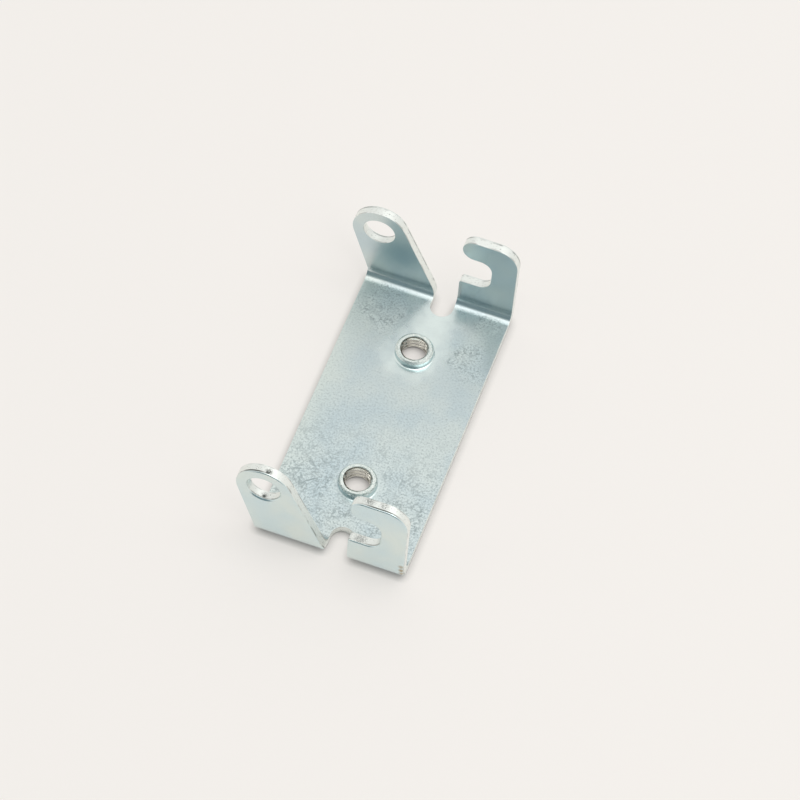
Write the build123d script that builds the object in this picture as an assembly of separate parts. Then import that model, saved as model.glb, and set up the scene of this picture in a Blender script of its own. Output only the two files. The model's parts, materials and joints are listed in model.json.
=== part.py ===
from build123d import *
import os

# Stamped bracket, in millimetres. One steel sheet is blanked to its outline, pierced, drawn up into two
# tapped collars and folded up at both ends. Each end wall is split by a round-ended notch into a leaning
# ear with an eye and an upright ear with a hook. The origin is the middle of the underside of the base,
# X runs across the base towards the hooks, Y along it and Z up.

# Sheet and folds
sheet_thickness = 2.0
bend_inner_radius = 2.0
base_length = 66.0          # over the outer faces of the two end walls
base_width = 30.0
rolled_edge_radius = 0.35   # on the outside of the folded sheet, where the punch drew the edge in

# Relief notch between the two ears of an end wall
notch_width = 4.6
notch_depth = 6.7           # from the end wall's outer face to the notch's round end

# End walls
ear_height = 22.2           # the top of the hook ears above the underside
eye_ear_drop = 0.3          # how much lower the top of the eye ears is

# Leaning ear with its eye
eye_diameter = 6.5
eye_wall = 2.25             # metal round the eye
eye_rim_break = 0.3         # on the outer face
eye_inset = 1.7             # the eye's centre in from the side of the base
shoulder_height = 3.6       # where the side of the ear starts to lean outwards
shoulder_radius = 1.5
heel_height = 2.5           # where the ear's long inner edge leaves the notch
heel_radius = 1.2

# Upright ear with its hook
finger_thickness = 5.2
finger_tip_flat = 0.2       # between the two rounds at the finger's tip
slot_height = 8.0
slot_depth = 6.3            # from its mouth at the notch to its closed end
slot_corner_radius = 2.6
hook_back_width = 5.0       # metal between the slot's closed end and the side of the base
hook_corner_radius = 4.5
lip_radius = 0.6            # the corner below the mouth of the slot

# Tapped collars
thread_core_diameter = 5.0
collar_diameter = 7.5
collar_height = 1.65        # above the top face of the base
collar_spacing = 32.5
collar_flare = 0.4          # where the wall leaves the top face of the base
collar_rim_break = 0.35
thread_lead_in = 0.35       # chamfer at the top of the thread
drawn_entry = 0.6           # where the sheet is drawn up into the collar, at the underside

# Places that follow from the sizes above
half_length = base_length / 2
half_width = base_width / 2
bend_outer_radius = bend_inner_radius + sheet_thickness
finger_tip_radius = (finger_thickness - finger_tip_flat) / 2
slot_end = half_width - hook_back_width
notch_right = slot_end - slot_depth
notch_left = notch_right - notch_width
notch_middle = (notch_left + notch_right) / 2
eye_outer_radius = eye_diameter / 2 + eye_wall
eye_ear_height = ear_height - eye_ear_drop
eye_centre = (-half_width + eye_inset, eye_ear_height - eye_outer_radius)
slot_top = ear_height - finger_thickness
slot_bottom = slot_top - slot_height
overall_height = max(ear_height, eye_ear_height)
reach_left = min(-half_width, eye_centre[0] - eye_outer_radius)
clearance = 1.0             # how far a cutter runs past what it cuts
tolerance = 1e-4


def u_profile(reach, floor, radius):
    """One skin of the fold, seen from the side: up one end wall, along the base and up the other."""
    corners = [(-reach, overall_height), (-reach, floor), (reach, floor), (reach, overall_height)]
    return FilletPolyline(*corners, radius=radius)


def folded_strip():
    """The sheet's side profile, folded up at both ends, run out as wide as the ears reach."""
    outer = u_profile(half_length, 0, bend_outer_radius)
    inner = u_profile(half_length - sheet_thickness, sheet_thickness, bend_inner_radius)
    tips = [Line(outer @ 0, inner @ 0), Line(outer @ 1, inner @ 1)]
    profile = Plane.YZ * make_face([outer, inner, *tips])
    strip = extrude(profile, half_width - reach_left)
    return Pos(reach_left, 0, 0) * strip


def eye_ear_outline():
    """Front view of the leaning ear: a foot on the base, and a lug drawn tangent to the round eye."""
    shoulder = (-half_width, shoulder_height)
    heel = (notch_left, heel_height)
    foot = Polygon((-half_width, 0), (notch_left, 0), heel, shoulder, align=None)
    eye_rim = Pos(*eye_centre) * Circle(eye_outer_radius)
    lug = make_hull(eye_rim.edges() + [Line(shoulder, heel)])
    ear = foot + lug
    ear = fillet(corners_at(ear, shoulder), shoulder_radius)
    ear = fillet(corners_at(ear, heel), heel_radius)
    return ear


def hook_ear_outline():
    """Front view of the upright ear: a column with a finger over a slot that opens towards the notch."""
    corners = [
        (half_width, 0),
        (half_width, ear_height),
        (notch_right, ear_height),
        (notch_right, slot_top),
        (slot_end, slot_top),
        (slot_end, slot_bottom),
        (notch_right, slot_bottom),
        (notch_right, 0),
    ]
    column = Polygon(*corners, align=None)
    tips = [finger_tip_radius] * 2
    slot_ends = [slot_corner_radius] * 2
    for corner, radius in zip(corners[1:], [hook_corner_radius, *tips, *slot_ends, lip_radius]):
        column = fillet(corners_at(column, corner), radius)
    return column


def corners_at(outline, point):
    """The outline's corner at a point of its plane."""
    return outline.vertices().sort_by_distance(Vector(*point, 0))[:1]


def end_walls_and_base():
    """The folded strip, trimmed to the outlines of the ears and to the width of the base."""
    base_edge = Polygon(
        (-half_width, 0),
        (half_width, 0),
        (half_width, sheet_thickness),
        (-half_width, sheet_thickness),
        align=None,
    )
    outline = eye_ear_outline() + hook_ear_outline() + base_edge
    return folded_strip() & extrude(Plane.XZ * outline, base_length, both=True)


def relief_notch(end):
    """Cutter for the round-ended notch in one end of the base, end being 1 at the back and -1 in front."""
    radius = notch_width / 2
    round_end = half_length - notch_depth + radius
    straight = half_length + clearance - round_end
    plan = Pos(notch_middle, end * round_end) * Circle(radius)
    plan += Pos(notch_middle, end * (round_end + straight / 2)) * Rectangle(notch_width, straight)
    cutter = extrude(plan, overall_height + 2 * clearance)
    return Pos(0, 0, -clearance) * cutter


def eyes():
    """Cutter for the eyes of both leaning ears, which share one axis."""
    eye = Plane.XZ * Pos(*eye_centre) * Circle(eye_diameter / 2)
    return extrude(eye, half_length + clearance, both=True)


def collar_blank(end):
    """A collar drawn up from the base, still solid, with the flare at its root and its broken rim."""
    seat = sheet_thickness / 2
    outer = collar_diameter / 2
    top = sheet_thickness + collar_height
    root = outer + collar_flare
    flare_top = sheet_thickness + collar_flare
    profile = [
        Line((0, seat), (root, seat)),
        Line((root, seat), (root, sheet_thickness)),
        Bezier((root, sheet_thickness), (outer, sheet_thickness), (outer, flare_top)),
        Line((outer, flare_top), (outer, top - collar_rim_break)),
        Line((outer, top - collar_rim_break), (outer - collar_rim_break, top)),
        Line((outer - collar_rim_break, top), (0, top)),
        Line((0, top), (0, seat)),
    ]
    collar = revolve(Plane.XZ * make_face(profile), Axis.Z)
    return Pos(0, end * collar_spacing / 2, 0) * collar


def thread_core(end):
    """Cutter for a collar's bore: the drawn-in entry, the core of the thread and the lead-in."""
    core = thread_core_diameter / 2
    top = sheet_thickness + collar_height
    entry = core + drawn_entry
    lead = core + thread_lead_in + clearance
    profile = [
        Line((0, -clearance), (entry, -clearance)),
        Line((entry, -clearance), (entry, 0)),
        Bezier((entry, 0), (core, 0), (core, drawn_entry)),
        Line((core, drawn_entry), (core, top - thread_lead_in)),
        Line((core, top - thread_lead_in), (lead, top + clearance)),
        Line((lead, top + clearance), (0, top + clearance)),
        Line((0, top + clearance), (0, -clearance)),
    ]
    cutter = revolve(Plane.XZ * make_face(profile), Axis.Z)
    return Pos(0, end * collar_spacing / 2, 0) * cutter


def outer_skin(body):
    """The outer skin of the folded sheet: the underside of the base, the bends and the end walls."""
    flats = body.faces().filter_by(GeomType.PLANE)
    skin = [flat for flat in flats.filter_by(Axis.Z) if abs(flat.center().Z) < tolerance]
    walls = flats.filter_by(Axis.Y)
    skin += [wall for wall in walls if abs(abs(wall.center().Y) - half_length) < tolerance]
    for bend in body.faces().filter_by(GeomType.CYLINDER):
        across = abs(bend.axis_of_rotation.direction.X) > 1 - tolerance
        if across and abs(bend.radius - bend_outer_radius) < tolerance:
            skin.append(bend)
    return skin


def skin_outline(skin):
    """The edges that only one face of the skin has, which are its outline."""
    edges = [edge for face in skin for edge in face.edges()]
    return [edge for edge in edges if sum(edge.is_same(other) for other in edges) == 1]


def outer_eye_rims(body):
    """The rims of both eyes on the outer faces of the end walls."""
    circles = body.edges().filter_by(GeomType.CIRCLE)
    rims = [rim for rim in circles if abs(rim.radius - eye_diameter / 2) < tolerance]
    return [rim for rim in rims if abs(abs(rim.center().Y) - half_length) < tolerance]


def bracket():
    """The whole bracket, one solid."""
    body = end_walls_and_base()
    for end in (-1, 1):
        body -= relief_notch(end)
    body = fillet(skin_outline(outer_skin(body)), rolled_edge_radius)
    body -= eyes()
    body = chamfer(outer_eye_rims(body), eye_rim_break)
    for end in (-1, 1):
        body += collar_blank(end)
        body -= thread_core(end)
    return body


os.makedirs("parts", exist_ok=True)
export_step(bracket(), "parts/bracket.step")
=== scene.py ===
# %% [markdown]
# # A stamped and folded bracket in zinc-plated steel
#
# The real bracket is one piece. A press blanks it from 2 mm sheet, pierces it, draws two collars up from its
# base, taps them, and folds up both ends. Then it is plated in a barrel with hundreds of others.
# The form comes from the CAD model. This lesson adds what a press, a tap and a plating bath leave behind:
# the cut of the thread, the torn rims, softened edges, and four finishes on one sheet.

# %% The fixed frame
import json
import math

import bmesh
import bpy
from mathutils import Matrix, Vector


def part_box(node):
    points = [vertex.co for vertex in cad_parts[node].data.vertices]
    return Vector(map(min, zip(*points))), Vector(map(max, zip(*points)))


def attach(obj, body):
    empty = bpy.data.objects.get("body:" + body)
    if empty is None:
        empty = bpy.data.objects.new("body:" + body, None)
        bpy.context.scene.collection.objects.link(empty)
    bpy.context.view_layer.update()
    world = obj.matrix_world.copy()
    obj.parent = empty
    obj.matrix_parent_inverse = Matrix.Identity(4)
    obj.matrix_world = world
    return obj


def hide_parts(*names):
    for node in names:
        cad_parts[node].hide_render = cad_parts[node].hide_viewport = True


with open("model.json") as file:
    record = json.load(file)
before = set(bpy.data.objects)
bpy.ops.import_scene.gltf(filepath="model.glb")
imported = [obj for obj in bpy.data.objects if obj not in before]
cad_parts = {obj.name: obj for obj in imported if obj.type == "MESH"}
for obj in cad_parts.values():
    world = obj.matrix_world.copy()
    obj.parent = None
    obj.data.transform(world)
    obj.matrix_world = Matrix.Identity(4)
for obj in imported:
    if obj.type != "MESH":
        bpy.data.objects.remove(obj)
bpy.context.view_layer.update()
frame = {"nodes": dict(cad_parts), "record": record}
MM = 0.001
low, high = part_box("bracket")
print("bracket, mm:", [round(size / MM, 2) for size in high - low])

# %% [markdown]
# ## Sizes that the finishes need
#
# The frame says where the sheet lies: the end walls' outer faces are the box's two ends along Y, and the
# underside is at zero. The record's mounts say where the threads are and how wide their cores are. The
# sheet's thickness, the radius of the bend and the sizes of the collars have to be named again.

# %% Sizes in millimetres, read from the frame
SHEET = 2.0
BEND_OUTSIDE = 4.0      # radius of the bend on the outer skin
HALF_LENGTH = high.y / MM
HALF_WIDTH_OF_BASE = high.x / MM
FLAT_LENGTH = HALF_LENGTH - BEND_OUTSIDE
mounts = {mount["name"]: mount for mount in frame["record"]["mounts"]}
THREAD_CORE = mounts["thread_back"]["dims"]["r_mm"]
COLLAR_Y = mounts["thread_back"]["pos_m"][1] / MM
COLLAR_RADIUS = 3.75
COLLAR_TOP = 3.65       # above the underside
RIM_BREAK = 0.35
COLLAR_ROOT = COLLAR_RADIUS + 1.0   # outside this the sheet is plain
BOTH_COLLARS = (-COLLAR_Y, COLLAR_Y)
print("thread core radius", THREAD_CORE, "collars at y", round(COLLAR_Y, 2))


# %% [markdown]
# ## Nodes from one helper
#
# Shader trees and geometry trees are both nodes joined by links. One function is enough for them all: it adds
# a node, sets its properties, and fills each input with a value or with another node's output.

# %% A helper that adds a node
def add(tree, kind, links=None, **settings):
    """Adds a node. Each entry of links is an input's name or number, with a value or an output for it."""
    made = tree.nodes.new(kind)
    for name, value in settings.items():
        setattr(made, name, value)
    for socket, value in (links or {}).items():
        if isinstance(value, bpy.types.NodeSocket):
            tree.links.new(value, made.inputs[socket])
        else:
            made.inputs[socket].default_value = value
    return made


# %% [markdown]
# ## One welded copy of the sheet
#
# A CAD mesh comes as loose triangles that only lie side by side. A Boolean cut needs a closed skin, so a copy
# is welded, and triangles in one plane are joined into one face. The CAD object itself isn't touched.

# %% Weld a copy of the CAD mesh
WELD = 0.0005                       # corners closer than this are one corner, mm
ONE_PLANE = math.radians(0.05)      # triangles that turn less than this lie in one plane


def in_scene(name, data):
    """A new object in the scene for a mesh, a lamp or a camera."""
    thing = bpy.data.objects.new(name, data)
    bpy.context.scene.collection.objects.link(thing)
    return thing


def welded_copy(source, name):
    """A closed copy of a CAD mesh, with flat regions as single faces and every face pointing outwards."""
    work = bmesh.new()
    work.from_mesh(source.data)
    bmesh.ops.remove_doubles(work, verts=work.verts, dist=WELD * MM)
    bmesh.ops.dissolve_limit(work, angle_limit=ONE_PLANE, verts=work.verts, edges=work.edges)
    bmesh.ops.recalc_face_normals(work, faces=work.faces)
    mesh = bpy.data.meshes.new(name)
    work.to_mesh(mesh)
    print(name, len(mesh.polygons), "faces,", sum(not edge.is_manifold for edge in work.edges), "open edges")
    work.free()
    return in_scene(name, mesh)


sheet = welded_copy(frame["nodes"]["bracket"], "folded_sheet")


# %% [markdown]
# ## A geometry tree as a shop tool
#
# A tap is a fixed shape that is run through each collar, so it is a good subject for Geometry Nodes: the tree
# has the thread's real sizes as named inputs. This cell holds what every tree here shares: its input sockets,
# the copies at both collars, and the turning of its result into a plain mesh.

# %% Making and running a geometry tree
def new_tree(name, sizes):
    """An empty geometry tree with one named number input for each size, and the node that gives them out."""
    tree = bpy.data.node_groups.new(name, "GeometryNodeTree")
    tree.interface.new_socket("Geometry", in_out="OUTPUT", socket_type="NodeSocketGeometry")
    for label, value in sizes.items():
        kind = "NodeSocketInt" if isinstance(value, int) else "NodeSocketFloat"
        tree.interface.new_socket(label, in_out="INPUT", socket_type=kind)
    tree.interface.new_socket("Metal", in_out="INPUT", socket_type="NodeSocketMaterial")
    return tree, add(tree, "NodeGroupInput").outputs


def finish_tree(tree, geometry, metal):
    """Makes instances real, gives every face its material and sends the mesh out."""
    real = add(tree, "GeometryNodeRealizeInstances", {"Geometry": geometry})
    coated = add(tree, "GeometryNodeSetMaterial", {"Geometry": real.outputs[0], "Material": metal})
    add(tree, "NodeGroupOutput", {"Geometry": coated.outputs[0]})


def at_both_collars(tree, place, height, thing):
    """Copies of a thing at the two collars, from their place along Y and a height."""
    front = add(tree, "ShaderNodeMath", {0: 0.0, 1: place}, operation="SUBTRACT")
    ends = [add(tree, "ShaderNodeCombineXYZ", {"Y": y, "Z": height}) for y in (front.outputs[0], place)]
    collars = add(tree, "GeometryNodeMeshLine",
                  {"Count": 2, "Start Location": ends[0].outputs[0], "Offset": ends[1].outputs[0]},
                  mode="END_POINTS")
    return add(tree, "GeometryNodeInstanceOnPoints",
               {"Points": collars.outputs[0], "Instance": thing}).outputs[0]


def run_tree(tree, sizes, metal):
    """The tree's result as a plain mesh object, with the modifier gone."""
    holder = in_scene(tree.name, bpy.data.meshes.new(tree.name))
    modifier = holder.modifiers.new(tree.name, "NODES")
    modifier.node_group = tree
    values = dict(sizes, Metal=metal)
    for socket in tree.interface.items_tree:
        if socket.in_out == "INPUT":
            modifier[socket.identifier] = values[socket.name]
    return baked(holder)


def baked(thing):
    """Replaces an object's mesh with its evaluated one and drops its modifiers."""
    depsgraph = bpy.context.evaluated_depsgraph_get()
    mesh = bpy.data.meshes.new_from_object(thing.evaluated_get(depsgraph), depsgraph=depsgraph)
    thing.modifiers.clear()
    thing.data = mesh
    return thing


# %% [markdown]
# ## Zinc plate and what it does to the eye
#
# Four finishes share one coat. Plated sheet is a soft mirror that is slightly blue from its passivating bath.
# A sheared edge is rough, so it scatters light and looks nearly white. The torn rim of a collar is like it,
# and the tapped thread was cut after plating, so it shows warmer, bare steel.

# %% Colours from sRGB hex to linear
def linear(code):
    """An sRGB hex colour as linear red, green, blue and alpha."""
    parts = [int(code[place:place + 2], 16) / 255 for place in (1, 3, 5)]
    light = [part / 12.92 if part <= 0.04045 else ((part + 0.055) / 1.055) ** 2.4 for part in parts]
    return (*light, 1.0)


print("sheared zinc in linear light:", [round(part, 3) for part in linear("#F2F6F2")])


# %% [markdown]
# ## Where on the sheet am I?
#
# Patterns need two things everywhere: the place in millimetres, and how deep in the sheet's thickness a point
# lies. The outer skin of the folded sheet is a U with rounded corners, so the depth is the distance in from
# that U. One node group works both out from Object coordinates, and every finish uses it.

# %% A node group for place and depth
def place_group():
    """Gives the place in millimetres and the depth in from the outer skin, 0 outside and 2 inside."""
    tree = bpy.data.node_groups.new("place on the sheet", "ShaderNodeTree")
    tree.interface.new_socket("Place", in_out="OUTPUT", socket_type="NodeSocketVector")
    tree.interface.new_socket("Depth", in_out="OUTPUT", socket_type="NodeSocketFloat")
    coordinates = add(tree, "ShaderNodeTexCoord")
    place = add(tree, "ShaderNodeVectorMath", {0: coordinates.outputs["Object"], "Scale": 1 / MM},
                operation="SCALE")
    parts = add(tree, "ShaderNodeSeparateXYZ", {0: place.outputs[0]})
    along = add(tree, "ShaderNodeMath", {0: parts.outputs["Y"]}, operation="ABSOLUTE")
    past_flat = add(tree, "ShaderNodeMath", {0: along.outputs[0], 1: FLAT_LENGTH}, operation="SUBTRACT")
    below_bend = add(tree, "ShaderNodeMath", {0: BEND_OUTSIDE, 1: parts.outputs["Z"]}, operation="SUBTRACT")
    corner = add(tree, "ShaderNodeCombineXYZ", {"X": past_flat.outputs[0], "Y": below_bend.outputs[0]})
    outward = add(tree, "ShaderNodeVectorMath", {0: corner.outputs[0], 1: (0, 0, 0)}, operation="MAXIMUM")
    reach = add(tree, "ShaderNodeVectorMath", {0: outward.outputs[0]}, operation="LENGTH")
    depth = add(tree, "ShaderNodeMath", {0: BEND_OUTSIDE, 1: reach.outputs["Value"]}, operation="SUBTRACT")
    add(tree, "NodeGroupOutput", {"Place": place.outputs[0], "Depth": depth.outputs[0]})
    return tree


PLACE = place_group()
print(PLACE.name, "has", len(PLACE.nodes), "nodes")


def new_metal(name):
    """A metal with an empty pattern: its tree, its shader and the outputs of the place group."""
    metal = bpy.data.materials.new(name)
    metal.use_nodes = True
    tree = metal.node_tree
    tree.nodes.clear()
    shader = add(tree, "ShaderNodeBsdfPrincipled", {"Metallic": 1.0})
    add(tree, "ShaderNodeOutputMaterial", {"Surface": shader.outputs[0]})
    place = add(tree, "ShaderNodeGroup", node_tree=PLACE)
    return metal, tree, shader, place.outputs


# %% [markdown]
# ## Soft spots
#
# Barrel plating and handling leave marks in certain places: patches of coarser crystals, a rust bloom, a
# nick. Each is a ball in space with a soft edge. The helper adds up balls into one mask, so that a mark is a
# place in millimetres, a radius and a strength.

# %% A mask from a list of places
def soft_spots(tree, place, spots):
    """The sum of soft balls. Each spot is a centre in millimetres, a radius and a strength."""
    total = 0.0
    for centre, radius, strength in spots:
        away = add(tree, "ShaderNodeVectorMath", {0: place, 1: centre}, operation="DISTANCE")
        ball = add(tree, "ShaderNodeMapRange",
                   {"Value": away.outputs["Value"], "From Min": radius, "From Max": 0.0,
                    "To Max": strength},
                   interpolation_type="SMOOTHERSTEP")
        total = add(tree, "ShaderNodeMath", {0: ball.outputs[0], 1: total}, operation="ADD").outputs[0]
    return total


# %% [markdown]
# ## Where the zinc grew in crystals
#
# On the ears the zinc is smooth. On the upper face of the base it grew in coarse crystals, strongest towards
# the front and in patches beside the rear ears, and nearly absent where the press stretched the sheet round
# the collars. The patches would look like discs if their outlines were true balls, so a slow noise pushes
# each point a little before its distance is measured.

# %% Strength of the crystals
WANDER = 3.5            # how far the outlines of the patches wander, mm
GRAIN_PATCHES = [
    ((-8.5, 24.0, SHEET), 8.5, 1.5),
    ((-10.5, 27.0, SHEET), 5.0, 0.6),
    ((10.0, 18.5, SHEET), 6.5, 1.1),
    ((10.5, 28.5, SHEET), 5.5, 1.0),
    ((13.0, 15.0, SHEET), 5.0, 0.5),
    ((4.5, -21.5, SHEET), 6.0, 0.5),
    ((-7.0, -20.0, SHEET), 7.0, 0.4),
]
SMOOTH_PATCHES = [
    ((0.0, -COLLAR_Y, SHEET), 7.0, 1.2),
    ((0.0, COLLAR_Y, SHEET), 9.5, 1.3),
    ((1.4, 26.0, SHEET), 8.0, 1.0),
]
print(len(GRAIN_PATCHES), "patches of crystals and", len(SMOOTH_PATCHES), "smooth ones")


def crystal_strength(tree, place):
    """Masks for the crystals and for the calm zones. Both are nought off the upper face of the base."""
    parts = add(tree, "ShaderNodeSeparateXYZ", {0: place["Place"]})
    slow = add(tree, "ShaderNodeTexNoise", {"Vector": place["Place"], "Scale": 1 / WANDER, "Detail": 2.0})
    centred = add(tree, "ShaderNodeVectorMath", {0: slow.outputs["Color"], 1: (0.5, 0.5, 0.5)},
                  operation="SUBTRACT")
    pushed = add(tree, "ShaderNodeVectorMath",
                 {0: centred.outputs[0], 1: (2 * WANDER, 2 * WANDER, 0.0), 2: place["Place"]},
                 operation="MULTIPLY_ADD")
    front = add(tree, "ShaderNodeMapRange",
                {"Value": parts.outputs["Y"], "From Min": 14.0, "From Max": -22.0, "To Min": 0.3,
                 "To Max": 1.0}, interpolation_type="SMOOTHSTEP")
    patches = soft_spots(tree, pushed.outputs[0], GRAIN_PATCHES)
    calm = soft_spots(tree, pushed.outputs[0], SMOOTH_PATCHES)
    coarse = add(tree, "ShaderNodeMath", {0: front.outputs[0], 1: patches}, operation="ADD")
    left = add(tree, "ShaderNodeMath", {0: coarse.outputs[0], 1: calm}, operation="SUBTRACT")
    left.use_clamp = True
    low_down = add(tree, "ShaderNodeMapRange",
                   {"Value": parts.outputs["Z"], "From Min": SHEET + 0.35, "From Max": SHEET + 0.02})
    inner = add(tree, "ShaderNodeMapRange", {"Value": place["Depth"], "From Min": 1.7, "From Max": 1.95})
    base_face = add(tree, "ShaderNodeMath", {0: low_down.outputs[0], 1: inner.outputs[0]},
                    operation="MULTIPLY")
    grainy = add(tree, "ShaderNodeMath", {0: base_face.outputs[0], 1: left.outputs[0]}, operation="MULTIPLY")
    calmed = add(tree, "ShaderNodeMath", {0: base_face.outputs[0], 1: calm}, operation="MULTIPLY")
    calmed.use_clamp = True
    return grainy.outputs[0], calmed.outputs[0]


# %% [markdown]
# ## Crystals and the lines between them
#
# Two patterns make the grain. A fine noise gives dark and light specks. The dark wandering lines where
# patches of crystals meet are the places where a slower noise crosses its middle value, which makes thin
# contour lines. They are broken up, so that they come and go.

# %% Specks and wandering lines
GRAIN = 0.40            # width of a zinc crystal that shows, mm
SEAM = 1.2              # width of a loop of the lines where crystals meet, mm
SEAM_HALF_WIDTH = 0.065 # how near its middle value the slower noise draws a line
SEAM_SEED = 4.0
BREAK_SEED = 9.0
print("crystals", GRAIN, "mm wide, loops of lines", SEAM, "mm")


def crystal_pattern(tree, place, strength):
    """Gives how dark and how light the crystals are here, and their height."""
    fine = add(tree, "ShaderNodeTexNoise",
               {"Vector": place["Place"], "Scale": 1 / GRAIN, "Detail": 4.0, "Roughness": 0.72})
    dark = add(tree, "ShaderNodeMapRange",
               {"Value": fine.outputs["Fac"], "From Min": 0.51, "From Max": 0.33, "To Max": 0.75})
    light = add(tree, "ShaderNodeMapRange",
                {"Value": fine.outputs["Fac"], "From Min": 0.54, "From Max": 0.72, "To Max": 0.8})
    loops = add(tree, "ShaderNodeTexNoise",
                {"Vector": place["Place"], "W": SEAM_SEED, "Scale": 1 / SEAM, "Detail": 2.0,
                 "Roughness": 0.55}, noise_dimensions="4D")
    crossing = add(tree, "ShaderNodeMath", {0: loops.outputs["Fac"], 1: 0.5}, operation="SUBTRACT")
    away = add(tree, "ShaderNodeMath", {0: crossing.outputs[0]}, operation="ABSOLUTE")
    seam = add(tree, "ShaderNodeMapRange",
               {"Value": away.outputs[0], "From Min": SEAM_HALF_WIDTH, "From Max": 0.0, "To Max": 0.7})
    breaks = add(tree, "ShaderNodeTexNoise",
                 {"Vector": place["Place"], "W": BREAK_SEED, "Scale": 1 / (2 * SEAM), "Detail": 3.0},
                 noise_dimensions="4D")
    shown = add(tree, "ShaderNodeMapRange",
                {"Value": breaks.outputs["Fac"], "From Min": 0.42, "From Max": 0.58})
    broken = add(tree, "ShaderNodeMath", {0: seam.outputs[0], 1: shown.outputs[0]}, operation="MULTIPLY")
    strong = add(tree, "ShaderNodeMapRange", {"Value": strength, "From Min": 0.5, "From Max": 1.0})
    lines = add(tree, "ShaderNodeMath", {0: broken.outputs[0], 1: strong.outputs[0]}, operation="MULTIPLY")
    specks = add(tree, "ShaderNodeMath", {0: dark.outputs[0], 1: strength}, operation="MULTIPLY")
    darker = add(tree, "ShaderNodeMath", {0: specks.outputs[0], 1: lines.outputs[0]}, operation="MAXIMUM")
    glints = add(tree, "ShaderNodeMath", {0: light.outputs[0], 1: strength}, operation="MULTIPLY")
    return darker.outputs[0], glints.outputs[0], fine.outputs["Fac"]


# %% [markdown]
# ## Marks from handling
#
# A part that rolled in a plating barrel and lay in a bin has marks in places of its own: a scratch and an
# oval dint beside the front collar, a rust bloom low on the front hook ear. A straight or oval mark is
# easiest in coordinates of its own, so a Mapping node lays the mark along its X axis and scales it to length
# one.

# %% Scratch, dint and rust
SCRATCH_MIDDLE = (-8.6, -18.65)
SCRATCH_TURN = math.radians(39.6)
SCRATCH_HALF_LENGTH = 1.85
SCRATCH_HALF_WIDTH = 0.16
DINT_MIDDLE = (-9.6, -19.0)
DINT_HALF_LENGTH = 1.9
DINT_HALF_WIDTH = 1.05
RUST = [
    ((14.5, -HALF_LENGTH, 5.6), 0.9, 0.6),
    ((14.6, -HALF_LENGTH, 4.4), 0.9, 0.8),
    ((14.7, 0.1 - HALF_LENGTH, 3.2), 0.9, 0.8),
]
print("scratch", 2 * SCRATCH_HALF_LENGTH, "mm long, dint", 2 * DINT_HALF_LENGTH, "mm long")


def handling_marks(tree, place):
    """How dark the scratch and the rim of the dint are here."""
    marks = []
    for middle, half_length, half_width in ((SCRATCH_MIDDLE, SCRATCH_HALF_LENGTH, SCRATCH_HALF_WIDTH),
                                            (DINT_MIDDLE, DINT_HALF_LENGTH, DINT_HALF_WIDTH)):
        own = add(tree, "ShaderNodeMapping",
                  {"Vector": place["Place"], "Location": (*middle, SHEET), "Rotation": (0, 0, SCRATCH_TURN),
                   "Scale": (half_length, half_width, 0.5)}, vector_type="TEXTURE")
        reach = add(tree, "ShaderNodeVectorMath", {0: own.outputs[0]}, operation="LENGTH")
        marks.append(reach.outputs["Value"])
    scratch = add(tree, "ShaderNodeMapRange",
                  {"Value": marks[0], "From Min": 1.0, "From Max": 0.4, "To Max": 0.8})
    from_rim = add(tree, "ShaderNodeMath", {0: marks[1], 1: 1.0}, operation="SUBTRACT")
    off_rim = add(tree, "ShaderNodeMath", {0: from_rim.outputs[0]}, operation="ABSOLUTE")
    rim = add(tree, "ShaderNodeMapRange", {"Value": off_rim.outputs[0], "From Min": 0.14, "From Max": 0.0,
                                           "To Max": 0.45})
    darkest = add(tree, "ShaderNodeMath", {0: scratch.outputs[0], 1: rim.outputs[0]}, operation="MAXIMUM")
    return darkest.outputs[0]


# %% [markdown]
# ## The plated skin
#
# Cold-rolled sheet with bright zinc and a blue passivate. The outside of the fold is painted lighter than the
# inside as painted light, and the inner face of one rear ear is painted darker as painted shade.

# %% Zinc-plated cold-rolled sheet
CLOUD = 8.0             # width of a tone in the passivate, mm
SKIN_ROUGHNESS = (0.26, 0.42)       # where it is smooth and where it is all crystals
CRYSTAL_HEIGHT = 0.025
# Painted shade on the inner face of one rear ear, a darker teal where it mirrors dark surroundings.
REAR_EAR_SHADE = [((-8.5, HALF_LENGTH - SHEET, 11.5), 8.0, 0.9)]
# where the collars' walls and root flares get painted shade
COLLAR_WALL_SHADE = [((0.0, y, COLLAR_TOP - 1.0), 5.2, 1.6) for y in BOTH_COLLARS]


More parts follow.
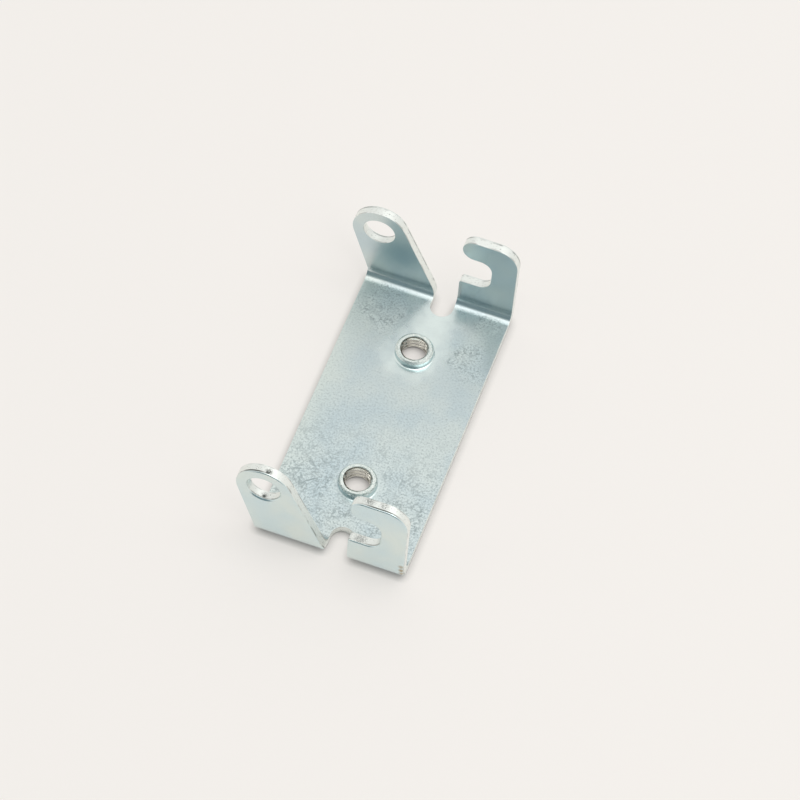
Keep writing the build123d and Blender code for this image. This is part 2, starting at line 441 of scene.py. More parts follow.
def skin_colour(tree, place, calmed):
    """The passivate's colour before the crystals, with painted light and shade: lighter outer skin and left
    edge, darker rear ear, teal collar walls.
    """
    parts = add(tree, "ShaderNodeSeparateXYZ", {0: place["Place"]})
    clouds = add(tree, "ShaderNodeTexNoise", {"Vector": place["Place"], "Scale": 1 / CLOUD, "Detail": 2.0})
    tones = add(tree, "ShaderNodeMapRange",
                {"Value": clouds.outputs["Fac"], "From Min": 0.35, "From Max": 0.65})
    inside = add(tree, "ShaderNodeMix",
                 {"Factor": tones.outputs[0], "A": linear("#C8D7DB"), "B": linear("#D4DFDE")},
                 data_type="RGBA")
    # Painted light: a pale band along the left edge of the base, low down near its upper face.
    at_edge = add(tree, "ShaderNodeMapRange",
                  {"Value": parts.outputs["X"], "From Min": -9.0, "From Max": -HALF_WIDTH_OF_BASE,
                   "To Max": 0.6})
    low_down = add(tree, "ShaderNodeMapRange",
                   {"Value": parts.outputs["Z"], "From Min": 3.5, "From Max": 2.2})
    left_edge_light = add(tree, "ShaderNodeMath", {0: at_edge.outputs[0], 1: low_down.outputs[0]},
                    operation="MULTIPLY")
    with_left_edge_light = add(tree, "ShaderNodeMix", {"Factor": left_edge_light.outputs[0], "A": inside.outputs["Result"],
                                        "B": linear("#E1EAE3")}, data_type="RGBA")
    calm = add(tree, "ShaderNodeMix",
               {"Factor": calmed, "A": with_left_edge_light.outputs["Result"], "B": linear("#EAF6F4")}, data_type="RGBA")
    # painted shade on one rear ear
    rear_ear_shade = soft_spots(tree, place["Place"], REAR_EAR_SHADE)
    with_ear_shade = add(tree, "ShaderNodeMix",
                  {"Factor": rear_ear_shade, "A": calm.outputs["Result"], "B": linear("#9AB3BA")},
                  data_type="RGBA")
    with_ear_shade.clamp_factor = True
    # Painted shade: the collars' walls and root flares get a darker teal, for the dark the walls mirror,
    # which also dims the flare's bright ring.
    raised = add(tree, "ShaderNodeMapRange", {"Value": parts.outputs["Z"], "From Min": 2.02, "From Max": 2.3})
    near_collar = soft_spots(tree, place["Place"], COLLAR_WALL_SHADE)
    wall = add(tree, "ShaderNodeMath", {0: raised.outputs[0], 1: near_collar}, operation="MULTIPLY")
    wall.use_clamp = True
    with_wall_shade = add(tree, "ShaderNodeMix", {"Factor": wall.outputs[0], "A": with_ear_shade.outputs["Result"],
                                        "B": linear("#8CA9AB")}, data_type="RGBA")
    inner = add(tree, "ShaderNodeMapRange", {"Value": place["Depth"], "From Min": 1.0, "From Max": 1.8})
    # Painted light: the outer skin gets a lighter colour than the inside of the fold, for the brighter
    # reflection it shows.
    outside = add(tree, "ShaderNodeMix",
                  {"Factor": tones.outputs[0], "A": linear("#D5E6E9"), "B": linear("#E1EBE7")},
                  data_type="RGBA")
    both = add(tree, "ShaderNodeMix", {"Factor": inner.outputs[0], "A": outside.outputs["Result"],
                                       "B": with_wall_shade.outputs["Result"]}, data_type="RGBA")
    rust = soft_spots(tree, place["Place"], RUST)
    return add(tree, "ShaderNodeMix", {"Factor": rust, "A": both.outputs["Result"], "B": linear("#A58A60")},
               data_type="RGBA").outputs["Result"]


def plated_sheet():
    """Zinc-plated cold-rolled steel, blue passivated: a soft mirror with crystal grain on the base."""
    metal, tree, shader, place = new_metal("zinc_plated_cold_rolled_sheet")
    grainy, calmed = crystal_strength(tree, place)
    strength = add(tree, "ShaderNodeMapRange", {"Value": grainy, "To Min": 0.06, "To Max": 1.0})
    darker, glints, height = crystal_pattern(tree, place, strength.outputs[0])
    passivate = skin_colour(tree, place, calmed)
    marked = add(tree, "ShaderNodeMath", {0: darker, 1: handling_marks(tree, place)}, operation="MAXIMUM")
    shaded = add(tree, "ShaderNodeMix", {"Factor": marked.outputs[0], "A": passivate, "B": linear("#78878A")},
                 data_type="RGBA")
    lit = add(tree, "ShaderNodeMix",
              {"Factor": glints, "A": shaded.outputs["Result"], "B": linear("#E6EEEC")}, data_type="RGBA")
    tree.links.new(lit.outputs["Result"], shader.inputs["Base Color"])
    rough = add(tree, "ShaderNodeMapRange",
                {"Value": grainy, "To Min": SKIN_ROUGHNESS[0], "To Max": SKIN_ROUGHNESS[1]})
    tree.links.new(rough.outputs[0], shader.inputs["Roughness"])
    relief = add(tree, "ShaderNodeBump",
                 {"Height": height, "Strength": strength.outputs[0], "Distance": CRYSTAL_HEIGHT * MM})
    tree.links.new(relief.outputs[0], shader.inputs["Normal"])
    return metal


SKIN = plated_sheet()
print(SKIN.name, "has", len(SKIN.node_tree.nodes), "nodes")

# %% [markdown]
# ## The sheared edge
#
# Where the punch went through, the first third of the thickness is burnished and the rest is torn. The
# plating covers both, but torn steel scatters light: it looks nearly white. A broken dark line near the outer
# skin is painted shade where the rolled edge meets the band, and dark pits and seams show where the steel
# tore deep.

# %% Zinc-plated sheared edge
TEAR = 0.3              # width of a pit in the torn band, mm
RAGGED = 0.25           # width of a torn hollow, mm
RAGGED_SEED = 9.0
SHEARED_ROUGHNESS = 0.42
SHADE_LINE_UNBROKEN = [((-15.6, -32.6, 21.5), 4.0, 1.3), ((9.5, -32.6, 22.0), 6.0, 1.2)]
SHADE_LINE_AND_INNER_LINE = [          # depth and half width in mm, seed, darkest it gets, and where it is unbroken
    # the first line is painted shade where the rolled edge meets the sheared band
    (0.40, 0.22, 2.0, 0.6, SHADE_LINE_UNBROKEN),
    (1.85, 0.14, 5.0, 0.5, []),
]
NICKS = [((-12.8, -32.5, 21.9), 0.55, 1.4), ((-13.3, -32.2, 13.2), 0.7, 1.2)]
COLLAR_RIMS = [((0.0, y, COLLAR_TOP), 8.0, 2.0) for y in BOTH_COLLARS]
DEEP_TEARS = [
    ((7.0, -31.6, 22.1), 2.0, 1.0),
    ((9.8, -31.7, 22.1), 1.6, 0.9),
    ((5.9, -32.0, 9.0), 2.4, 1.0),
    ((-13.3, -32.0, 13.2), 1.1, 1.0),
    ((-12.6, -32.2, 21.9), 1.2, 1.6),
]


def sheared_edge():
    """Zinc over a punched edge: rough and pale, with a broken line of painted shade, a second dark line and
    dark torn places.
    """
    metal, tree, shader, place = new_metal("zinc_plated_sheared_edge")
    torn = add(tree, "ShaderNodeTexNoise",
               {"Vector": place["Place"], "Scale": 1 / TEAR, "Detail": 3.0, "Roughness": 0.6})
    pits = add(tree, "ShaderNodeMapRange",
               {"Value": torn.outputs["Fac"], "From Min": 0.40, "From Max": 0.30, "To Max": 0.7})
    line = 0.0
    for depth, half_width, seed, most, whole in SHADE_LINE_AND_INNER_LINE:
        off_line = add(tree, "ShaderNodeMath", {0: place["Depth"], 1: depth}, operation="SUBTRACT")
        from_line = add(tree, "ShaderNodeMath", {0: off_line.outputs[0]}, operation="ABSOLUTE")
        core = add(tree, "ShaderNodeMapRange", {"Value": from_line.outputs[0], "From Min": half_width,
                                                "From Max": half_width / 3})
        comes_and_goes = add(tree, "ShaderNodeTexNoise",
                             {"Vector": place["Place"], "W": seed, "Scale": 0.4, "Detail": 3.0},
                             noise_dimensions="4D")
        shown = add(tree, "ShaderNodeMapRange", {"Value": comes_and_goes.outputs["Fac"], "From Min": 0.44,
                                                 "From Max": 0.58, "To Max": most})
        unbroken = soft_spots(tree, place["Place"], whole)
        always = add(tree, "ShaderNodeMath", {0: shown.outputs[0], 1: unbroken}, operation="MAXIMUM")
        broken = add(tree, "ShaderNodeMath", {0: core.outputs[0], 1: always.outputs[0]}, operation="MULTIPLY")
        line = add(tree, "ShaderNodeMath", {0: broken.outputs[0], 1: line}, operation="MAXIMUM").outputs[0]
    ragged = add(tree, "ShaderNodeTexNoise",
                 {"Vector": place["Place"], "W": RAGGED_SEED, "Scale": 1 / RAGGED, "Detail": 3.0,
                  "Roughness": 0.6}, noise_dimensions="4D")
    hollow = add(tree, "ShaderNodeMapRange",
                 {"Value": ragged.outputs["Fac"], "From Min": 0.38, "From Max": 0.54, "To Max": 0.7})
    deep = soft_spots(tree, place["Place"], DEEP_TEARS)
    torn_deep = add(tree, "ShaderNodeMath", {0: hollow.outputs[0], 1: deep}, operation="MULTIPLY")
    nicks = soft_spots(tree, place["Place"], NICKS)
    nicked = add(tree, "ShaderNodeMath", {0: torn_deep.outputs[0], 1: nicks}, operation="MAXIMUM")
    dark = add(tree, "ShaderNodeMath", {0: line, 1: nicked.outputs[0]}, operation="MAXIMUM")
    darkest = add(tree, "ShaderNodeMath", {0: dark.outputs[0], 1: pits.outputs[0]}, operation="MAXIMUM")
    darkest.use_clamp = True
    on_rim = soft_spots(tree, place["Place"], COLLAR_RIMS)
    flecks = add(tree, "ShaderNodeMapRange",
                 {"Value": ragged.outputs["Fac"], "From Min": 0.42, "From Max": 0.58})
    rim = add(tree, "ShaderNodeMix", {"Factor": flecks.outputs[0], "A": linear("#CBD9D5"),
                                      "B": linear("#F2F7F3")}, data_type="RGBA")
    rim_or_cut = add(tree, "ShaderNodeMix",
                     {"Factor": on_rim, "A": linear("#F2F6F2"), "B": rim.outputs["Result"]}, data_type="RGBA")
    rim_or_cut.clamp_factor = True
    colour = add(tree, "ShaderNodeMix",
                 {"Factor": darkest.outputs[0], "A": rim_or_cut.outputs["Result"], "B": linear("#626764")},
                 data_type="RGBA")
    tree.links.new(colour.outputs["Result"], shader.inputs["Base Color"])
    shader.inputs["Roughness"].default_value = SHEARED_ROUGHNESS
    relief = add(tree, "ShaderNodeBump",
                 {"Height": torn.outputs["Fac"], "Strength": 0.5, "Distance": 0.04 * MM})
    tree.links.new(relief.outputs[0], shader.inputs["Normal"])
    return metal


EDGE = sheared_edge()
print(EDGE.name, "has", len(EDGE.node_tree.nodes), "nodes")

# %% [markdown]
# ## The tapped thread
#
# The tap cut through the plating into bare steel, so the flanks are bright, smooth and warmer than zinc. The
# groove's root and the lowest turn get painted shade.

# %% Bright tapped steel
CREST_DULL = (THREAD_CORE + 0.08, THREAD_CORE + 0.02)    # radii between which a crest goes dull, mm
# the groove's root and the lowest turn get painted shade
ROOT_SHADE = (THREAD_CORE + 0.27, THREAD_CORE + 0.33)     # radii between which the groove goes dark, mm
ENTRY_SHADE = (0.9, 0.4)             # heights between which the lowest turn goes dark, mm
TAPPED_ROUGHNESS = 0.16


def tapped_steel():
    """Bare steel as a tap leaves it: bright flanks, dull crests left by the drawing, painted shade at the
    root and on the lowest turn.
    """
    metal, tree, shader, place = new_metal("tapped_bright_steel")
    chatter = add(tree, "ShaderNodeTexNoise", {"Vector": place["Place"], "Scale": 2.0, "Detail": 2.0})
    steel = add(tree, "ShaderNodeMix",
                {"Factor": chatter.outputs["Fac"], "A": linear("#FEFCF4"), "B": linear("#FFFFFC")},
                data_type="RGBA")
    parts = add(tree, "ShaderNodeSeparateXYZ", {0: place["Place"]})
    along = add(tree, "ShaderNodeMath", {0: parts.outputs["Y"]}, operation="ABSOLUTE")
    off_axis = add(tree, "ShaderNodeMath", {0: along.outputs[0], 1: COLLAR_Y}, operation="SUBTRACT")
    flat = add(tree, "ShaderNodeCombineXYZ", {"X": parts.outputs["X"], "Y": off_axis.outputs[0]})
    radius = add(tree, "ShaderNodeVectorMath", {0: flat.outputs[0]}, operation="LENGTH")
    root = add(tree, "ShaderNodeMapRange",
               {"Value": radius.outputs["Value"], "From Min": ROOT_SHADE[0], "From Max": ROOT_SHADE[1]})
    entry = add(tree, "ShaderNodeMapRange",
                {"Value": parts.outputs["Z"], "From Min": ENTRY_SHADE[0], "From Max": ENTRY_SHADE[1],
                 "To Max": 0.5})
    crest = add(tree, "ShaderNodeMapRange",
                {"Value": radius.outputs["Value"], "From Min": CREST_DULL[0], "From Max": CREST_DULL[1],
                 "To Max": 0.15})
    lines = add(tree, "ShaderNodeMath", {0: root.outputs[0], 1: crest.outputs[0]}, operation="MAXIMUM")
    shade_and_dull_crest = add(tree, "ShaderNodeMath", {0: lines.outputs[0], 1: entry.outputs[0]}, operation="MAXIMUM")
    # The dark colour is painted shade at the groove's root and on the lowest turn, and the crests' own dull
    # colour.
    colour = add(tree, "ShaderNodeMix",
                 {"Factor": shade_and_dull_crest.outputs[0], "A": steel.outputs["Result"], "B": linear("#5A5646")},
                 data_type="RGBA")
    tree.links.new(colour.outputs["Result"], shader.inputs["Base Color"])
    shader.inputs["Roughness"].default_value = TAPPED_ROUGHNESS
    return metal


THREAD = tapped_steel()
print(THREAD.name, "has", len(THREAD.node_tree.nodes), "nodes")

# %% [markdown]
# ## A true bore
#
# A CAD mesh draws a bore as a ring of flat facets, and a thread cut into facets gets a jagged crest. So the
# bore is reamed first: a profile is turned into a finely divided plug with the bore's radius and lead-in, and
# its space is taken out of the sheet. It removes only the slivers between the facets and the true circle, and
# a hundredth of a millimetre more, so that no face of the plug lies on a face of the sheet. A Boolean can
# fail without a warning and leave nothing of the sheet, so the volume that each cut takes is measured.

# %% Reamer
REAMER_STEPS = 144
REAMED = 0.01       # how much wider than the bore in radius
LEAD_IN = 0.35
CLEAR = 0.5         # how far the reamer runs past the sheet
MOST_CUT = 0.05     # no cut takes more than this share of the sheet


def turned_plug(name, profile, steps, places):
    """A closed solid of revolution from radii and heights in millimetres, set at each place along Y."""
    work = bmesh.new()
    for y in places:
        rings = []
        for radius, height in profile:
            ring = []
            for step in range(steps):
                angle = 2 * math.pi * step / steps
                spot = Vector((radius * math.cos(angle), y + radius * math.sin(angle), height))
                ring.append(work.verts.new(spot * MM))
            rings.append(ring)
        for below, above in zip(rings, rings[1:]):
            for step in range(steps):
                after = (step + 1) % steps
                work.faces.new((below[step], below[after], above[after], above[step]))
        work.faces.new(rings[0][::-1])
        work.faces.new(rings[-1])
    mesh = bpy.data.meshes.new(name)
    work.to_mesh(mesh)
    work.free()
    mesh.materials.append(THREAD)
    return in_scene(name, mesh)


def outward(thing):
    """Turns the faces of a closed mesh to point out."""
    work = bmesh.new()
    work.from_mesh(thing.data)
    bmesh.ops.recalc_face_normals(work, faces=work.faces)
    work.to_mesh(thing.data)
    work.free()


def volume_of(thing):
    """The volume inside a closed mesh, in cubic millimetres."""
    work = bmesh.new()
    work.from_mesh(thing.data)
    volume = work.calc_volume()
    work.free()
    return volume / MM ** 3


def cut(body, tool):
    """Takes a closed tool's space out of a body, throws the tool away and stops if the cut went wrong."""
    outward(tool)
    before = volume_of(body)
    difference = body.modifiers.new(tool.name, "BOOLEAN")
    difference.operation = "DIFFERENCE"
    difference.solver = "EXACT"
    difference.object = tool
    difference.material_mode = "TRANSFER"
    baked(body)
    taken = before - volume_of(body)
    print(tool.name, "took", round(taken, 3), "mm3, faces now", len(body.data.polygons))
    if not 0 < taken < MOST_CUT * before:
        raise RuntimeError(f"{tool.name} took {taken} mm3 of {before}")
    bpy.data.objects.remove(tool)


for finish in (SKIN, EDGE, THREAD):
    sheet.data.materials.append(finish)
reamer_profile = [
    (THREAD_CORE + REAMED, -CLEAR),
    (THREAD_CORE + REAMED, COLLAR_TOP - LEAD_IN),
    (THREAD_CORE + REAMED + LEAD_IN + CLEAR, COLLAR_TOP + CLEAR),
]
cut(sheet, turned_plug("reamer", reamer_profile, REAMER_STEPS, BOTH_COLLARS))

# %% [markdown]
# ## Cutting the thread
#
# An M6 coarse thread: one turn rises by 1 mm, and the flanks stand at 60 degrees to each other. The tap here
# is only the ridge between the flanks, wound on a helix. The ridge starts inside the bore, so that cutting it
# away from the collar leaves the groove. It runs in from below and out through the lead-in, as a tap does.
# The Spiral node turns clockwise as it rises, which is a left-hand thread, so it is reversed.

# %% The tap, as a tree
PITCH = 1.0
THREAD_MAJOR = 3.0                  # radius at the bottom of the groove
GROOVE_FLOOR = PITCH / 8
FLANK_SLOPE = math.radians(30)
TAP_TURNS = 5.25                    # enough to start below the underside
RUN_OUT = 0.5                       # how far above the collar the tap ends
RIDGE_ROOT = THREAD_CORE - 0.1      # the ridge starts this far out, inside the bore
GROOVE_MOUTH = GROOVE_FLOOR + 2 * (THREAD_MAJOR - RIDGE_ROOT) * math.tan(FLANK_SLOPE)
TAP_SIZES = {
    "Pitch": PITCH * MM,
    "Turns": TAP_TURNS,
    "Steps Per Turn": REAMER_STEPS,
    "Root Radius": RIDGE_ROOT * MM,
    "Ridge Height": (THREAD_MAJOR - RIDGE_ROOT) * MM,
    "Half Mouth": GROOVE_MOUTH / 2 * MM,
    "Half Floor": GROOVE_FLOOR / 2 * MM,
    "Collar Place": COLLAR_Y * MM,
    "Start": (COLLAR_TOP + RUN_OUT - TAP_TURNS * PITCH) * MM,
}


def tap_tree():
    """A ridge wound on a helix, once at each collar."""
    tree, size = new_tree("tap", TAP_SIZES)
    rise = add(tree, "ShaderNodeMath", {0: size["Pitch"], 1: size["Turns"]}, operation="MULTIPLY")
    helix = add(tree, "GeometryNodeCurveSpiral",
                {"Resolution": size["Steps Per Turn"], "Rotations": size["Turns"],
                 "Start Radius": size["Root Radius"], "End Radius": size["Root Radius"],
                 "Height": rise.outputs[0], "Reverse": True})
    upright = add(tree, "GeometryNodeSetCurveNormal", {"Curve": helix.outputs[0]}, mode="Z_UP")
    under_mouth = add(tree, "ShaderNodeMath", {0: 0.0, 1: size["Half Mouth"]}, operation="SUBTRACT")
    under_floor = add(tree, "ShaderNodeMath", {0: 0.0, 1: size["Half Floor"]}, operation="SUBTRACT")
    corners = {}
    out = size["Ridge Height"]
    spread = [(0.0, size["Half Mouth"]), (out, size["Half Floor"]),
              (out, under_floor.outputs[0]), (0.0, under_mouth.outputs[0])]
    for number, (x, y) in enumerate(spread, start=1):
        corner = add(tree, "ShaderNodeCombineXYZ", {"X": x, "Y": y})
        corners[f"Point {number}"] = corner.outputs[0]
    profile = add(tree, "GeometryNodeCurvePrimitiveQuadrilateral", corners, mode="POINTS")
    ridge = add(tree, "GeometryNodeCurveToMesh",
                {"Curve": upright.outputs[0], "Profile Curve": profile.outputs[0], "Fill Caps": True})
    taps = at_both_collars(tree, size["Collar Place"], size["Start"], ridge.outputs[0])
    finish_tree(tree, taps, size["Metal"])
    return tree


tap = run_tree(tap_tree(), TAP_SIZES, THREAD)
corners = [Vector(corner) for corner in tap.bound_box]
print("taps, mm:", [round(v / MM, 3) for v in corners[6] - corners[0]])
cut(sheet, tap)

# %% [markdown]
# ## The torn rims of the collars
#
# The punch that draws a collar up tears its rim instead of shearing it. A ragged ring is wound round each rim
# and cut away from it, so the chamfer gets uneven teeth about half a millimetre wide.

# %% The tear, as a tree
TEAR_SIZES = {
    "Steps": 220,
    "Ring Radius": (COLLAR_RADIUS + 0.02) * MM,
    "Ring Height": (COLLAR_TOP - RIM_BREAK) * MM,
    "Ring Thickness": 0.15 * MM,
    "Bite": 0.32 * MM,
    "Collar Place": COLLAR_Y * MM,
    "Tooth": 0.5 * MM,
}


def tear_tree():
    """A ring with a ragged surface at the rim of each collar."""
    tree, size = new_tree("rim_tear", TEAR_SIZES)
    circle = add(tree, "GeometryNodeCurvePrimitiveCircle",
                 {"Resolution": size["Steps"], "Radius": size["Ring Radius"]}, mode="RADIUS")
    section = add(tree, "GeometryNodeCurvePrimitiveCircle",
                  {"Resolution": 8, "Radius": size["Ring Thickness"]}, mode="RADIUS")
    ring = add(tree, "GeometryNodeCurveToMesh",
               {"Curve": circle.outputs[0], "Profile Curve": section.outputs[0]})
    rings = at_both_collars(tree, size["Collar Place"], size["Ring Height"], ring.outputs[0])
    real = add(tree, "GeometryNodeRealizeInstances", {"Geometry": rings})
    where = add(tree, "GeometryNodeInputPosition")
    fineness = add(tree, "ShaderNodeMath", {0: 1.0, 1: size["Tooth"]}, operation="DIVIDE")
    ragged = add(tree, "ShaderNodeTexNoise",
                 {"Vector": where.outputs[0], "Scale": fineness.outputs[0], "Detail": 2.0})
    centred = add(tree, "ShaderNodeVectorMath", {0: ragged.outputs["Color"], 1: (0.5, 0.5, 0.5)},
                  operation="SUBTRACT")
    bite = add(tree, "ShaderNodeVectorMath", {0: centred.outputs[0], "Scale": size["Bite"]},
               operation="SCALE")
    doubled = add(tree, "ShaderNodeVectorMath", {0: bite.outputs[0], 1: bite.outputs[0]}, operation="ADD")
    torn = add(tree, "GeometryNodeSetPosition", {"Geometry": real.outputs[0], "Offset": doubled.outputs[0]})
    finish_tree(tree, torn.outputs[0], size["Metal"])
    return tree


cut(sheet, run_tree(tear_tree(), TEAR_SIZES, EDGE))


# %% [markdown]
# ## Which face is which
#
# A face belongs to the skin if it looks along the sheet's thickness, and to a sheared edge if it looks
# across. The direction of the thickness follows the same rounded U as the depth does.

# %% Give each face its finish
BORE_MARGIN = 0.02      # past the thread's own radius, mm
THREAD_ENDS = 0.3       # bare steel ends this far under the collar's top, mm
RIM_MARGIN = 0.05       # past the collar's own radius, mm
RIM_REACH = 0.1         # the torn rim goes this far below the broken edge, mm
LOOKS_ACROSS = 0.3      # cosine to the thickness under which a face is a sheared edge


def finish_of(centre, normal):
    """The slot of a face, from its centre in millimetres and its normal: 0 skin, 1 sheared edge, 2 thread."""
    from_bore = math.hypot(centre.x, abs(centre.y) - COLLAR_Y)
    if from_bore < THREAD_MAJOR + BORE_MARGIN and centre.z < COLLAR_TOP - THREAD_ENDS:
        return 2
    if from_bore < COLLAR_RADIUS + RIM_MARGIN and centre.z > COLLAR_TOP - RIM_BREAK - RIM_REACH:
        return 1
    across = max(abs(centre.y) - FLAT_LENGTH, 0.0)
    down = max(BEND_OUTSIDE - centre.z, 0.0)
    thickness = Vector((0.0, math.copysign(across, centre.y), -down))
    if from_bore > COLLAR_ROOT and abs(thickness.normalized().dot(normal)) < LOOKS_ACROSS:
        return 1
    return 0


tally = [0, 0, 0]
for face in sheet.data.polygons:
    face.material_index = finish_of(face.center / MM, face.normal)
    tally[face.material_index] += 1
print("faces of skin, sheared edge and thread:", tally)


# %% [markdown]
# ## Soft corners
#
# No real edge is a perfect corner: plating rounds even the burr side by a few hundredths of a millimetre.
# That sliver catches the light, so the sharp edges outside the collars get a bevel, and the normals are
# weighted by face area so that large faces stay flat.

# %% Bevel the sharp edges of the sheet
EDGE_BREAK = 0.06
SHARP = math.radians(40)    # edges that turn more than this get a bevel
CREASE = math.radians(32)   # edges that turn more than this stay crisp in the shading


def mark_sharp(thing):
    """Gives a bevel weight to each sharp edge that isn't part of a collar."""
    work = bmesh.new()
    work.from_mesh(thing.data)
    weights = work.edges.layers.float.new("bevel_weight_edge")
    marked = 0
    for edge in work.edges:
        middle = (edge.verts[0].co + edge.verts[1].co) / 2 / MM
        from_bore = math.hypot(middle.x, abs(middle.y) - COLLAR_Y)
        if edge.is_manifold and edge.calc_face_angle() > SHARP and from_bore > COLLAR_ROOT:
            edge[weights] = 1.0
            marked += 1
    work.to_mesh(thing.data)
    work.free()
    print("edges to soften:", marked)


mark_sharp(sheet)
soften = sheet.modifiers.new("edge break", "BEVEL")
soften.width = EDGE_BREAK * MM
soften.segments = 2
soften.limit_method = "WEIGHT"
soften.use_clamp_overlap = False
baked(sheet)
sheet.data.shade_smooth()
sheet.data.set_sharp_from_angle(angle=CREASE)
weigh = sheet.modifiers.new("flat faces stay flat", "WEIGHTED_NORMAL")
weigh.keep_sharp = True
baked(sheet)
print("bracket:", len(sheet.data.polygons), "faces,", len(sheet.data.loop_triangles), "triangles")

# %% [markdown]
# ## The sheet in place of the CAD node
#
# The finished sheet stands in place of the hidden CAD node and moves with the only body.

# %% The piece in the frame
sheet.name = "bracket_sheet"
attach(sheet, "root")
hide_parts("bracket")
print("handed over:", sheet.name)

# %% [markdown]
# ## A pale table
#
# The bracket stands on plain warm-white paper. The paper is lit by the same lamps as the metal, so it keeps
# the soft shadow under the ears. Part of its paleness is given off to the camera and to mirror-like rays
# alone, so that no lamp has to be turned up for it. That glow fades in the narrow corner where the sheet
# meets the table, which keeps the dark line of contact.

# %% Floor
FLOOR_SIZE = 3.0        # metres
PAPER_GLOW = 0.50
CONTACT = 1.7           # how far from the sheet the glow is full again, mm


def seen(tree, strength):
    """The strength for rays from the camera, a mirror or glass, and nothing for rays that carry light."""
    rays = add(tree, "ShaderNodeLightPath").outputs
    mirrored = add(tree, "ShaderNodeMath", {0: rays["Is Camera Ray"], 1: rays["Is Glossy Ray"]},
                   operation="MAXIMUM")
    any_seen = add(tree, "ShaderNodeMath", {0: mirrored.outputs[0], 1: rays["Is Transmission Ray"]},
                   operation="MAXIMUM")
    return add(tree, "ShaderNodeMath", {0: any_seen.outputs[0], 1: strength}, operation="MULTIPLY").outputs[0]


def pale_floor():
    """A plain warm-white floor at the underside of the bracket."""
    work = bmesh.new()
    bmesh.ops.create_grid(work, x_segments=1, y_segments=1, size=FLOOR_SIZE / 2)
    mesh = bpy.data.meshes.new("floor")
    work.to_mesh(mesh)
    work.free()
    paper = bpy.data.materials.new("matt_paper")
    paper.use_nodes = True
    tree = paper.node_tree
    tree.nodes.clear()
    matt = add(tree, "ShaderNodeBsdfDiffuse", {"Color": linear("#B3B0AD")})
    near = add(tree, "ShaderNodeAmbientOcclusion", {"Distance": CONTACT * MM}, samples=8)
    open_air = add(tree, "ShaderNodeMath", {0: near.outputs["AO"], 1: PAPER_GLOW}, operation="MULTIPLY")
    glow = add(tree, "ShaderNodeEmission",
               {"Color": linear("#F4F0EC"), "Strength": seen(tree, open_air.outputs[0])})
    both = add(tree, "ShaderNodeAddShader", {0: matt.outputs[0], 1: glow.outputs[0]})
    add(tree, "ShaderNodeOutputMaterial", {"Surface": both.outputs[0]})
    mesh.materials.append(paper)
    in_scene("floor", mesh)


pale_floor()
print("floor", FLOOR_SIZE, "m square at height 0")

# %% [markdown]
# ## A dark card
#
# Metal shows what is round it more than its own colour, so a studio stands a dark card where metal should go
# dark. This one is in front, behind the camera, and gives the rear ears and the near side of each collar
# their deep grey. It is graded, dark at its foot and pale at its top, so that no bend mirrors a hard edge.
# The camera doesn't see it.

# %% Dark card
CARD_AWAY = 1.2         # this and the next three are in metres
CARD_HALF_WIDTH = 1.1
CARD_HEIGHT = 1.97
CARD_DARK_TO = 1.3


def dark_card():
    """An upright grey card in front of the bracket, outside every view."""
    corners = [(-CARD_HALF_WIDTH, -CARD_AWAY, 0.0), (CARD_HALF_WIDTH, -CARD_AWAY, 0.0),
               (CARD_HALF_WIDTH, -CARD_AWAY, CARD_HEIGHT), (-CARD_HALF_WIDTH, -CARD_AWAY, CARD_HEIGHT)]
    mesh = bpy.data.meshes.new("dark_card")
    mesh.from_pydata(corners, [], [(0, 3, 2, 1)])
    card = in_scene("dark_card", mesh)
    cloth = bpy.data.materials.new("grey_card")
    cloth.use_nodes = True
    tree = cloth.node_tree
    tree.nodes.clear()
    coordinates = add(tree, "ShaderNodeTexCoord")
    parts = add(tree, "ShaderNodeSeparateXYZ", {0: coordinates.outputs["Object"]})
    height = add(tree, "ShaderNodeMapRange",
                 {"Value": parts.outputs["Z"], "From Min": CARD_DARK_TO, "From Max": CARD_HEIGHT},
                 interpolation_type="SMOOTHSTEP")
    graded = add(tree, "ShaderNodeMix", {"Factor": height.outputs[0], "A": linear("#8FA3AA"),
                                         "B": linear("#C9DADF")}, data_type="RGBA")
    matt = add(tree, "ShaderNodeBsdfDiffuse", {"Color": graded.outputs["Result"]})
    add(tree, "ShaderNodeOutputMaterial", {"Surface": matt.outputs[0]})
    mesh.materials.append(cloth)
    card.visible_camera = False


dark_card()
print("card", 2 * CARD_HALF_WIDTH, "m wide and", CARD_HEIGHT, "m high,", CARD_AWAY, "m in front")

# %% [markdown]
# ## Light
#
# The sky of the studio is evenly pale. One large soft lamp hangs overhead, a little to the right, which the
# bends and the threads mirror towards the camera as bright lines.

# %% World and lamps
SKY_LIGHT = 0.88
SKY_SEEN = 0.06         # added for the camera and for mirror-like rays
BOX_AZIMUTH = 80.0
BOX_ELEVATION = 72.0
BOX_AWAY = 1.0
BOX_SIZE = 0.85
BOX_POWER = 3.8
world = bpy.data.worlds.new("studio")
world.use_nodes = True
bpy.context.scene.world = world
background = world.node_tree.nodes["Background"]
background.inputs["Color"].default_value = linear("#F4F3F1")
sky = world.node_tree
to_all = add(sky, "ShaderNodeMath", {0: seen(sky, SKY_SEEN), 1: SKY_LIGHT}, operation="ADD")
sky.links.new(to_all.outputs[0], background.inputs["Strength"])


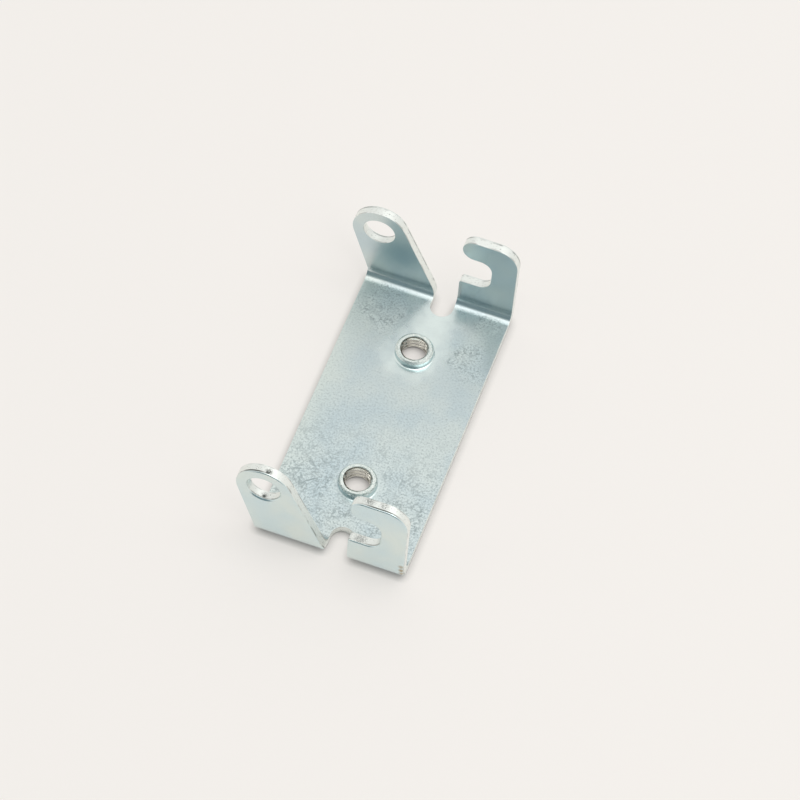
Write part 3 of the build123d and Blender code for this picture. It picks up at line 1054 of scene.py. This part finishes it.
def soft_lamp(name, azimuth, elevation, distance, size, power):
    """A square lamp that looks at the bracket. Azimuth 0 is the front and turns towards +X."""
    around = math.radians(azimuth)
    up = math.radians(elevation)
    flat = math.cos(up)
    away = Vector((math.sin(around) * flat, -math.cos(around) * flat, math.sin(up)))
    light = bpy.data.lights.new(name, "AREA")
    light.shape = "SQUARE"
    light.size = size
    light.energy = power
    lamp = in_scene(name, light)
    lamp.location = away * distance
    lamp.rotation_euler = away.to_track_quat("Z", "Y").to_euler()
    print(name, "at", [round(v, 2) for v in lamp.location], "m,", power, "W")


soft_lamp("overhead soft box", BOX_AZIMUTH, BOX_ELEVATION, BOX_AWAY, BOX_SIZE, BOX_POWER)

# %% [markdown]
# ## Camera
#
# The bracket is seen from its front right, looking steeply down through a long lens. The camera is turned by
# a few degrees about its own axis.

# %% Camera
AIM = Vector((0.767, 6.116, 0.0)) * MM
CAMERA_AZIMUTH = math.radians(14.842)
CAMERA_ELEVATION = math.radians(55.874)
CAMERA_ROLL = math.radians(-5.650)
CAMERA_DISTANCE = 765.11 * MM
LENS = 177.714
SENSOR = 36.0
FARTHEST = 100.0


def placed_camera():
    """A camera on a sphere round the aim, rolled about its own axis."""
    flat = math.cos(CAMERA_ELEVATION)
    back = Vector((math.sin(CAMERA_AZIMUTH) * flat, -math.cos(CAMERA_AZIMUTH) * flat,
                   math.sin(CAMERA_ELEVATION)))
    level_up = (Vector((0, 0, 1)) - back * back.z).normalized()
    level_right = level_up.cross(back)
    up = level_up * math.cos(CAMERA_ROLL) + level_right * math.sin(CAMERA_ROLL)
    right = up.cross(back)
    view = bpy.data.cameras.new("camera")
    view.sensor_width = SENSOR
    view.lens = LENS
    view.clip_end = FARTHEST
    camera = in_scene("camera", view)
    turn = Matrix((right, up, back)).transposed().to_4x4()
    camera.matrix_world = Matrix.Translation(AIM + back * CAMERA_DISTANCE) @ turn
    print("camera", round(CAMERA_DISTANCE / MM), "mm away, lens", LENS, "mm")
    return camera


bpy.context.scene.camera = placed_camera()
bpy.context.scene.view_settings.view_transform = "Standard"
